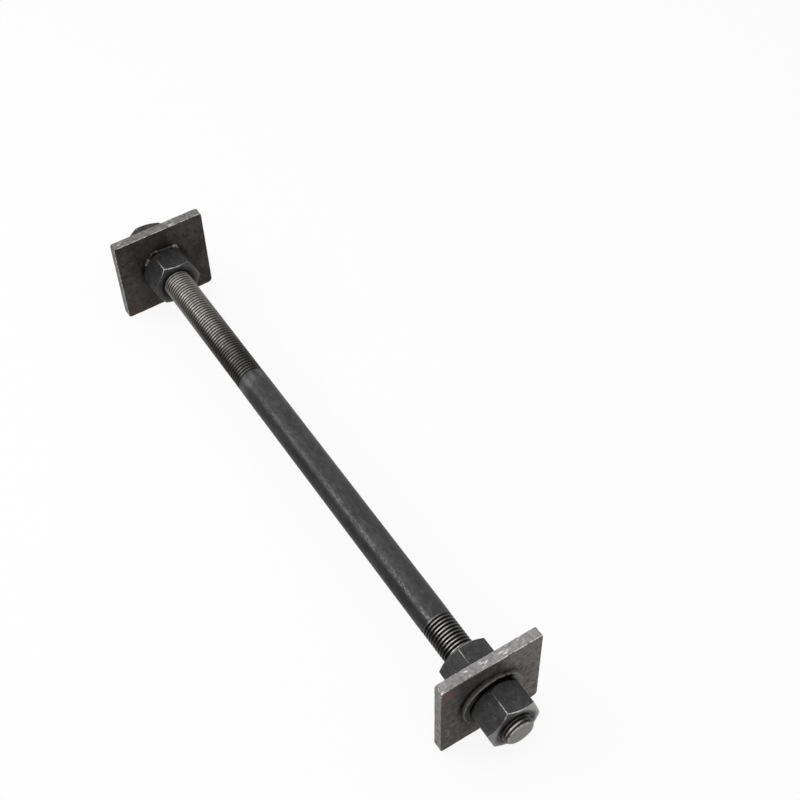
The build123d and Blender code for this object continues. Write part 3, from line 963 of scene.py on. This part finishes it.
def shank_coats(steel, station, clouds, grain):
    """The plain bar: mottled blue-grey, brown with painted shade on its left side, painted light
    on its right side and a painted sheen, and a line of nicks and painted highlight along its
    top.
    """
    steel.base(steel.ramp(clouds, 0.32, 0.68), BAR_DARK, BAR_LIGHT)
    spots = steel.noise(5 * MM, detail=4, roughness=0.6, stretch=(0.6, 1, 1))
    steel.coat(BAR_DARK_SPOT, steel.ramp(spots, 0.52, 0.60, 0.0, 0.55))
    steel.coat(BAR_LIGHT_SPOT, steel.ramp(spots, 0.46, 0.38, 0.0, 0.45))
    steel.coat(BAR_GRAIN, steel.ramp(grain, 0.42, 0.75, 0.0, 0.4))
    # Brown colour and painted shade along the rod's lower left side, in patches.
    stain_and_shade = steel.noise(12 * MM, detail=4, roughness=0.6, stretch=(0.22, 1, 1))
    left_side = steel.ramp(steel.along("Y"), -8.5 * MM, -12.2 * MM)
    steel.coat(BAR_BROWN_AND_SHADE, steel.ramp(stain_and_shade, 0.34, 0.60, 0.45, 1.0), left_side, 0.9)
    steel.coat(BAR_SHEEN, steel.near_line(-6.6 * MM, ROD_HEIGHT + 13.4 * MM, 6.5 * MM), 0.12)
    # Painted light on the rod's right side.
    steel.coat(BAR_RIGHT_LIT, steel.ramp(steel.along("Y"), -2 * MM, 11 * MM), 0.55)
    # A line of painted highlight along the top, in patches, and light nicks in the same colour.
    highlight_line = steel.all_of(
        steel.near_line(-7.8 * MM, ROD_HEIGHT + 12.8 * MM, 3.0 * MM),
        steel.ramp(steel.noise(20 * MM, detail=2), 0.36, 0.56, 0.40, 1.0),
    )
    rubbed_and_lit = steel.noise(0.9 * MM, detail=2, roughness=0.6, stretch=(0.25, 1, 1))
    rubbed_and_lit = steel.ramp(rubbed_and_lit, 0.42, 0.64)
    toward_short_end = steel.ramp(station, -40 * MM, 200 * MM, 0.15, 0.42)
    nicks = steel.specks(0.6 * MM, 0.9, 10 * MM, stretch=(0.6, 1, 1))
    nicks = steel.all_of(nicks, 0.5)
    light = steel.all_of(rubbed_and_lit, highlight_line, toward_short_end)
    steel.coat(BAR_NICK_AND_HIGHLIGHT, steel.math("MAXIMUM", nicks, light))
    from_scuff = steel.math("ABSOLUTE", steel.math("SUBTRACT", station, SCUFF_STATION))
    scuff = steel.ramp(from_scuff, 0.0, 14 * MM, 1.0, 0.0)
    steel.coat(BAR_SCUFF, scuff, steel.ramp(clouds, 0.40, 0.62), 0.45)


def thread_colour(steel, station, toward_long_end):
    """Colour of both threads, and 1 on their crests.

    The crests carry a painted highlight along a band at the upper left, and painted shade below
    it. The long thread gets duller towards the shank.
    """
    at_short_end = steel.ramp(station, 336 * MM, 341 * MM)
    broad = steel.sum_of(steel.all_of(toward_long_end, 0.25), steel.all_of(at_short_end, 0.20))
    depth = steel.math("SUBTRACT", steel.mark("groove"), broad)
    on_crest = steel.ramp(depth, 0.36, 0.08)
    fresh = steel.ramp(station, -240 * MM, -125 * MM, 1.0, 0.0)
    # The painted highlight on the long thread's crests fades towards the shank.
    fresh_highlight = steel.ramp(station, -200 * MM, -110 * MM, 1.0, 0.10)
    rubbed_and_lit = steel.noise(6 * MM, stretch=(0.7, 1, 1))
    rubbed_and_lit = steel.ramp(rubbed_and_lit, 0.32, 0.60, 0.40, 1.0)
    # Painted highlight along a band at the crests' upper left, broken into patches.
    highlight_streak = steel.near_line(-6.6 * MM, ROD_HEIGHT + 13.0 * MM, 12 * MM)
    highlight_streak = steel.all_of(highlight_streak, rubbed_and_lit)
    long_crest = steel.blend(fresh, LONG_CREST_DULL, LONG_CREST_FRESH)
    long_highlight = steel.blend(fresh_highlight, LONG_HIGHLIGHT_DULL, LONG_HIGHLIGHT_FRESH)
    long_crest = steel.blend(highlight_streak, long_crest, long_highlight)
    short_crest = steel.blend(highlight_streak, SHORT_CREST, SHORT_HIGHLIGHT)
    crest = steel.blend(toward_long_end, short_crest, long_crest)
    # Painted shade on the crests along the rod's lower left, weaker at the long end, none at the
    # short end.
    lower_crest_shade = steel.all_of(
        steel.near_line(-12.9 * MM, ROD_HEIGHT + 7.4 * MM, 6.5 * MM),
        steel.ramp(station, -300 * MM, -160 * MM, 0.30, 0.95),
        steel.ramp(station, 336 * MM, 330 * MM),
    )
    crest = steel.blend(lower_crest_shade, crest, CREST_SHADE)
    long_root = steel.blend(fresh, LONG_ROOT_DULL, LONG_ROOT_FRESH)
    root = steel.blend(toward_long_end, SHORT_ROOT, long_root)
    root = steel.blend(at_short_end, root, END_ROOT)
    return steel.blend(on_crest, root, crest), on_crest


def rod_steel(name):
    """The rod: dark blue-grey bar, black-grooved threads whose crests carry a painted highlight,
    machined ends, and grime with painted shade by the short end's nut.
    """
    steel = Finish(name)
    station = steel.along("X")
    clouds = steel.noise(8 * MM, detail=5, roughness=0.6, stretch=(0.35, 1, 1))
    grain = steel.noise(0.7 * MM, roughness=0.7, stretch=(0.5, 1, 1))
    shank_coats(steel, station, clouds, grain)
    toward_long_end = steel.ramp(station, 50 * MM, -50 * MM)
    thread, on_crest = thread_colour(steel, station, toward_long_end)
    threaded = steel.ramp(steel.mark("threaded"), 0.25, 1.0)
    steel.coat(thread, threaded)
    chamfer = steel.ramp(steel.math("ABSOLUTE", station), 344.6 * MM, 345.1 * MM)
    steel.coat(CHAMFER_BROWN, chamfer, 0.85)
    # Grime and painted shade on the second crest, in the gap by the short end's nut.
    second_crest_end = steel.ramp(station, 342.4 * MM, 341.2 * MM)
    second_crest_start = steel.ramp(station, 330 * MM, 336 * MM)
    steel.coat(END_GRIME_AND_SHADE, second_crest_end, second_crest_start, 0.85)
    turned = steel.noise(3 * MM, detail=4, roughness=0.6)
    face = steel.blend(steel.ramp(turned, 0.3, 0.7), END_FACE_DARK, END_FACE_LIGHT)
    steel.coat(face, steel.mark("end_face"))
    steel.coat(END_RIM, steel.mark("end_rim"), steel.ramp(turned, 0.30, 0.55))
    dull = steel.ramp(grain, 0.3, 0.8, 0.44, 0.62)
    roughness = steel.math("SUBTRACT", dull, steel.all_of(on_crest, threaded, 0.20))
    heights = [(clouds, 0.10 * MM), (grain, 0.035 * MM)]
    return steel.finish(roughness, heights, metallic=0.45, gloss=0.22)


def washer_steel(name):
    """A dark washer: its wall painted lit, fading to painted shade towards the seat, and its
    outer ring with painted reflections towards both sides.
    """
    steel = Finish(name)
    clouds = steel.noise(8 * MM, detail=4)
    grain = steel.noise(0.7 * MM, roughness=0.7)
    steel.base(steel.ramp(clouds, 0.3, 0.7), WASHER_DARK, WASHER_LIGHT)
    steel.coat(WASHER_GRAIN, steel.ramp(grain, 0.45, 0.75, 0.0, 0.4))
    # Painted reflections on the outer ring: full towards +Y, weak towards -Y.
    right = steel.ramp(steel.along("Y"), 16 * MM, 24 * MM)
    left = steel.ramp(steel.along("Y"), -14 * MM, -24 * MM, 0.0, 0.22)
    steel.coat(WASHER_SHEEN, steel.mark("sheen_ring"), steel.math("MAXIMUM", right, left))
    # Painted light on the wall, fading to painted shade towards the seat.
    steel.coat(WASHER_WALL_LIT, steel.mark("wall"), steel.ramp(clouds, 0.25, 0.60, 0.5, 1.0))
    chipped = steel.ramp(steel.noise(4 * MM), 0.30, 0.52)
    edge = steel.all_of(steel.mark("worn_edge"), chipped, 0.7)
    steel.coat(WASHER_EDGE, steel.ramp(edge, 0.2, 0.9))
    roughness = steel.ramp(grain, 0.3, 0.8, 0.36, 0.52)
    heights = [(clouds, 0.08 * MM), (grain, 0.04 * MM)]
    return steel.finish(roughness, heights, metallic=0.0, gloss=0.01)


def weld_metal(name):
    """Weld: dark scale between the lumps, and bright metal with painted glints on their crowns.
    """
    steel = Finish(name)
    scale = steel.noise(1.3 * MM, detail=4, roughness=0.7)
    crown = steel.ramp(steel.mark("crown"), 0.25, 1.0)
    # Bright metal with painted glints on the lumps' crowns.
    bright = steel.all_of(crown, steel.ramp(scale, 0.40, 0.60))
    steel.base(bright, WELD_SCALE, WELD_CROWN_GLINT)
    roughness = steel.ramp(scale, 0.3, 0.7, 0.30, 0.55)
    return steel.finish(roughness, [(scale, 0.25 * MM)], metallic=0.5, gloss=0.3)


# The bolt

near_plate = hot_rolled_plate(
    "near_plate", "short_end_plate", 1, NEAR_SCALE, NEAR_SHEAR, NEAR_BLUSH, lean=0.55
)
far_plate = hot_rolled_plate(
    "far_plate", "long_end_plate", -1, FAR_SCALE_SHADED, FAR_SHEAR_SHADED, FAR_BLUSH, lean=-0.12
)
nut_finish = black_oxide("nut_black_oxide")
washer_finish = washer_steel("washer_steel")

threaded_rod(rod_steel("rod_steel"))
hexagon_nut("short_end_inner_nut", -1, nut_finish, shine=0.30, wear_share=0.8)
hexagon_nut("short_end_outer_nut", 1, nut_finish, shine=1.0, wear_share=1.0)
hexagon_nut("long_end_welded_nut", 1, nut_finish, shine=0.12, wear_share=0.9)
hexagon_nut("long_end_outer_nut", -1, nut_finish, shine=0.8, wear_share=0.5)
round_washer("short_end_washer", 1, washer_finish)
round_washer("long_end_washer", -1, washer_finish)
square_plate("short_end_plate", 1, 11, 1.0, NEAR_PLATE_SCRATCHES, near_plate)
square_plate("long_end_plate", -1, 23, 0.0, FAR_PLATE_SCRATCHES, far_plate)
weld_seam("weld_bead", "long_end_welded_nut", weld_metal("weld_metal"))


# Floor, light and camera

FLOOR_SIZE = 8.0
FLOOR_COLOUR = (0.86, 0.86, 0.86)
FLOOR_CAMERA_WHITE = 0.89
SOFTBOX_SIZE = (3.2, 3.4)
SOFTBOX_PLACE = (0.15, -0.35, 1.7)
SOFTBOX_POWER = 37.0
STRIP_SIZE = (2.4, 0.40)
STRIP_PLACE = (-1.35, -1.45, 1.45)
STRIP_TILT = radians(46)
STRIP_POWER = 20.0
WORLD_FILL = 0.30
CAMERA_PLACE = (0.75452, -0.35462, 1.11851)
CAMERA_TURN = (39.7128, 1.0340, 57.3555)
CAMERA_FOCAL_PIXELS = 1433.0
IMAGE_WIDTH = 800


def seen_rays(tree):
    """1 for camera, glossy and transmission rays, else 0."""
    rays = add_node(tree, "ShaderNodeLightPath", {}).outputs
    seen = rays["Is Camera Ray"]
    for ray in ("Is Glossy Ray", "Is Transmission Ray"):
        either = {0: seen, 1: rays[ray]}
        seen = add_node(tree, "ShaderNodeMath", either, operation="MAXIMUM").outputs[0]
    return seen


def pale_floor():
    """A white sheet whose shadows stay, and whose lit part is seen as white."""
    half = FLOOR_SIZE / 2
    mesh = bpy.data.meshes.new("floor")
    corners = [(-half, -half, 0), (half, -half, 0), (half, half, 0), (-half, half, 0)]
    mesh.from_pydata(corners, [], [(0, 1, 2, 3)])
    floor = put_in_scene("floor", mesh)
    material = bpy.data.materials.new("white_sheet")
    material.use_nodes = True
    tree = material.node_tree
    tree.nodes.clear()
    whiteness = {0: seen_rays(tree), 1: FLOOR_CAMERA_WHITE}
    layers = [
        add_node(tree, "ShaderNodeMath", whiteness, operation="MULTIPLY"),
        add_node(tree, "ShaderNodeBsdfDiffuse", {"Color": FLOOR_COLOUR}),
        add_node(tree, "ShaderNodeEmission", {"Strength": 1.0}),
    ]
    layers = {place: layer.outputs[0] for place, layer in enumerate(layers)}
    mix = add_node(tree, "ShaderNodeMixShader", layers)
    add_node(tree, "ShaderNodeOutputMaterial", {"Surface": mix.outputs[0]})
    mesh.materials.append(material)


def area_lamp(name, size, place, tilt, power):
    """A rectangular lamp that shines down, tilted about X by that angle."""
    lamp = bpy.data.lights.new(name, "AREA")
    lamp.shape = "RECTANGLE"
    lamp.size, lamp.size_y = size
    lamp.energy = power
    holder = put_in_scene(name, lamp)
    holder.location = place
    holder.rotation_euler = (tilt, 0, 0)


def studio():
    """White surroundings, one wide softbox overhead and a narrow strip beside the rod."""
    world = bpy.data.worlds.new("studio")
    bpy.context.scene.world = world
    world.use_nodes = True
    tree = world.node_tree
    fill = {"Value": seen_rays(tree), "To Min": WORLD_FILL, "To Max": 1.0}
    strength = add_node(tree, "ShaderNodeMapRange", fill).outputs["Result"]
    feed(tree.nodes["Background"], {"Color": (1, 1, 1), "Strength": strength})
    area_lamp("softbox", SOFTBOX_SIZE, SOFTBOX_PLACE, 0, SOFTBOX_POWER)
    area_lamp("strip", STRIP_SIZE, STRIP_PLACE, STRIP_TILT, STRIP_POWER)


def photo_camera():
    """The camera at the photograph's place, turn and focal length."""
    camera = bpy.data.cameras.new("camera")
    camera.sensor_width = 36.0
    camera.lens = CAMERA_FOCAL_PIXELS / IMAGE_WIDTH * camera.sensor_width
    holder = put_in_scene("camera", camera)
    holder.location = CAMERA_PLACE
    holder.rotation_euler = [radians(turn) for turn in CAMERA_TURN]
    bpy.context.scene.camera = holder


pale_floor()
studio()
photo_camera()
bpy.context.scene.view_settings.view_transform = "Standard"
